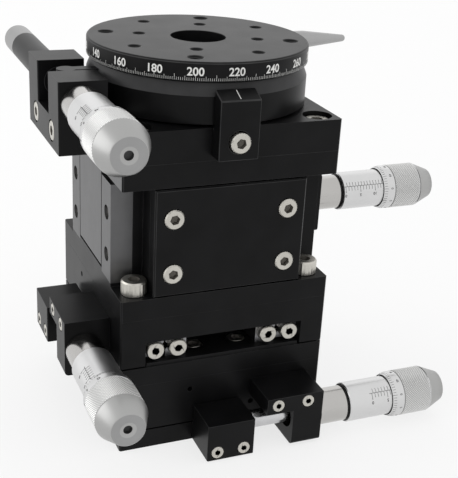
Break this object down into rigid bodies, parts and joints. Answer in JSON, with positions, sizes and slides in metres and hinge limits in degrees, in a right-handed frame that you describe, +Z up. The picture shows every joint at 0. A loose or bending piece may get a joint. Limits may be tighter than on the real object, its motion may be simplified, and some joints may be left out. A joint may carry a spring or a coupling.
{
  "type": "four-axis rotation stage",
  "caption": "Manual positioning stage: two crossed slides, a wedge lift and a rotation stage with a graduated dial, moved by micrometer heads",
  "frame": {"origin": "centre of the base plate's bottom face", "axes": "+Z up along the dial's axis; +X along the lowest slide, towards its micrometer head; -Y is the front"},
  "size_m": [0.1228, 0.1211, 0.108],
  "materials": {
    "black_anodised": "black anodised, satin",
    "satin_chrome": "satin chrome plate",
    "matt_chrome": "matt chrome plate",
    "ground_steel": "ground",
    "steel_screws": "plain turned",
    "bearing_steel": "hardened and ground",
    "cage_brass": "stamped strip",
    "lever_steel": "turned and polished"
  },
  "bodies": {
    "base": {"x_base": "black_anodised", "x_inner_rails": "bearing_steel", "x_anvil": "black_anodised", "x_base_screws": "steel_screws"},
    "x_rollers": {"x_rollers": "bearing_steel", "x_roller_cages": "cage_brass"},
    "x_stage": {"x_carriage": "black_anodised", "x_outer_rails": "bearing_steel", "x_carriage_screws": "steel_screws", "x_head_clamp": "black_anodised", "x_head_barrel": "satin_chrome", "x_return_spring": "bearing_steel", "y_base": "black_anodised", "y_inner_rails": "bearing_steel", "y_anvil": "black_anodised", "y_base_screws": "steel_screws"},
    "x_spindle": {"x_head_spindle": "ground_steel"},
    "x_thimble": {"x_head_thimble": "matt_chrome"},
    "y_rollers": {"y_rollers": "bearing_steel", "y_roller_cages": "cage_brass"},
    "y_stage": {"y_carriage": "black_anodised", "y_outer_rails": "bearing_steel", "y_carriage_screws": "steel_screws", "y_head_clamp": "black_anodised", "y_head_barrel": "satin_chrome", "y_return_spring": "bearing_steel", "lift_housing": "black_anodised", "lift_front_cover": "black_anodised", "lift_rear_cover": "black_anodised", "lift_guide_strips": "bearing_steel", "lift_housing_screws": "steel_screws", "lift_corner_screws": "steel_screws", "lift_head_clamp": "black_anodised", "lift_clamp_screws": "steel_screws", "lift_head_barrel": "satin_chrome", "lift_springs": "bearing_steel"},
    "y_spindle": {"y_head_spindle": "ground_steel"},
    "y_thimble": {"y_head_thimble": "matt_chrome"},
    "wedge": {"lift_wedge": "black_anodised"},
    "floor_rollers": {"lift_floor_rollers": "bearing_steel"},
    "guide_rollers": {"lift_guide_rollers": "bearing_steel"},
    "z_spindle": {"lift_head_spindle": "ground_steel"},
    "z_thimble": {"lift_head_thimble": "matt_chrome"},
    "z_stage": {"lift_table": "black_anodised", "turn_base": "black_anodised", "turn_base_screws": "steel_screws", "turn_bearing": "bearing_steel", "turn_bracket": "black_anodised", "turn_head_barrel": "satin_chrome", "plunger_body": "black_anodised", "plunger_cap": "matt_chrome", "index_block": "black_anodised"},
    "fine_ring": {"clamp_ring": "black_anodised"},
    "clamp_lever": {"clamp_lever": "lever_steel"},
    "dial": {"dial": "black_anodised"},
    "turn_spindle": {"turn_head_spindle": "ground_steel"},
    "turn_thimble": {"turn_head_thimble": "matt_chrome"},
    "plunger_pin": {"plunger_pin": "ground_steel"}
  },
  "joints": [
    {"name": "x_slide", "type": "slide", "parent": "base", "child": "x_stage", "axis": [1, 0, 0], "range_m": [-0.0065, 0.0065], "deforming": ["x_return_spring"]},
    {"name": "x_roller_slide", "type": "slide", "parent": "base", "child": "x_rollers", "axis": [1, 0, 0], "range_m": [-0.00326, 0.00326]},
    {"name": "x_spindle_slide", "type": "slide", "parent": "x_stage", "child": "x_spindle", "axis": [1, 0, 0], "range_m": [-0.0066, 0.0066]},
    {"name": "x_thimble_spin", "type": "hinge", "parent": "x_spindle", "child": "x_thimble", "pos_m": [0.0537, -0.0373, 0.0082], "axis": [1, 0, 0], "range_deg": [-4690, 4690]},
    {"name": "y_slide", "type": "slide", "parent": "x_stage", "child": "y_stage", "axis": [0, -1, 0], "range_m": [-0.0065, 0.0065], "deforming": ["y_return_spring"]},
    {"name": "y_roller_slide", "type": "slide", "parent": "x_stage", "child": "y_rollers", "axis": [0, -1, 0], "range_m": [-0.00326, 0.00326]},
    {"name": "y_spindle_slide", "type": "slide", "parent": "y_stage", "child": "y_spindle", "axis": [0, -1, 0], "range_m": [-0.0066, 0.0066]},
    {"name": "y_thimble_spin", "type": "hinge", "parent": "y_spindle", "child": "y_thimble", "pos_m": [-0.0373, -0.0482, 0.0282], "axis": [0, -1, 0], "range_deg": [-4690, 4690]},
    {"name": "z_slide", "type": "slide", "parent": "y_stage", "child": "z_stage", "axis": [0, 0, 1], "range_m": [0, 0.0065], "deforming": ["lift_springs"]},
    {"name": "wedge_slide", "type": "slide", "parent": "y_stage", "child": "wedge", "axis": [1, 0, 0], "range_m": [-0.0131, 0.0001]},
    {"name": "floor_roller_slide", "type": "slide", "parent": "y_stage", "child": "floor_rollers", "axis": [1, 0, 0], "range_m": [-0.0066, 0.0001]},
    {"name": "guide_roller_slide", "type": "slide", "parent": "y_stage", "child": "guide_rollers", "axis": [0, 0, 1], "range_m": [-0.0001, 0.0033]},
    {"name": "z_spindle_slide", "type": "slide", "parent": "y_stage", "child": "z_spindle", "axis": [1, 0, 0], "range_m": [-0.0131, 0.0001]},
    {"name": "z_thimble_spin", "type": "hinge", "parent": "z_spindle", "child": "z_thimble", "pos_m": [0.0658, 0, 0.059], "axis": [1, 0, 0], "range_deg": [-20, 9380]},
    {"name": "fine_turn", "type": "hinge", "parent": "z_stage", "child": "fine_ring", "pos_m": [0, 0, 0.0975], "axis": [0, 0, 1], "range_deg": [-9, 0]},
    {"name": "dial_turn", "type": "hinge", "parent": "fine_ring", "child": "dial", "pos_m": [0, 0, 0.1], "axis": [0, 0, 1], "continuous": true},
    {"name": "lever_turn", "type": "hinge", "parent": "fine_ring", "child": "clamp_lever", "pos_m": [0.014, 0.0325, 0.0985], "axis": [0, 1, 0], "range_deg": [-25, 8]},
    {"name": "turn_spindle_slide", "type": "slide", "parent": "z_stage", "child": "turn_spindle", "axis": [0, 1, 0], "range_m": [-0.0001, 0.006]},
    {"name": "turn_thimble_spin", "type": "hinge", "parent": "turn_spindle", "child": "turn_thimble", "pos_m": [-0.037, -0.0452, 0.0958], "axis": [0, 1, 0], "range_deg": [-10, 4300]},
    {"name": "plunger_slide", "type": "slide", "parent": "z_stage", "child": "plunger_pin", "axis": [0, 1, 0], "range_m": [-0.0001, 0.006]}
  ],
  "couplings": [
    {"joint": "x_roller_slide", "follows": "x_slide", "ratio": 0.5},
    {"joint": "x_spindle_slide", "follows": "x_slide", "ratio": -1},
    {"joint": "x_thimble_spin", "follows": "x_slide", "rad_per_m": 12566},
    {"joint": "y_roller_slide", "follows": "y_slide", "ratio": 0.5},
    {"joint": "y_spindle_slide", "follows": "y_slide", "ratio": -1},
    {"joint": "y_thimble_spin", "follows": "y_slide", "rad_per_m": 12566},
    {"joint": "wedge_slide", "follows": "z_slide", "ratio": -2},
    {"joint": "floor_roller_slide", "follows": "z_slide", "ratio": -1},
    {"joint": "guide_roller_slide", "follows": "z_slide", "ratio": 0.5},
    {"joint": "z_spindle_slide", "follows": "z_slide", "ratio": -2},
    {"joint": "z_thimble_spin", "follows": "z_slide", "rad_per_m": 25133},
    {"joint": "turn_spindle_slide", "follows": "fine_turn", "m_per_rad": -0.037},
    {"joint": "turn_thimble_spin", "follows": "fine_turn", "ratio": -464.96},
    {"joint": "plunger_slide", "follows": "fine_turn", "m_per_rad": -0.037}
  ]
}
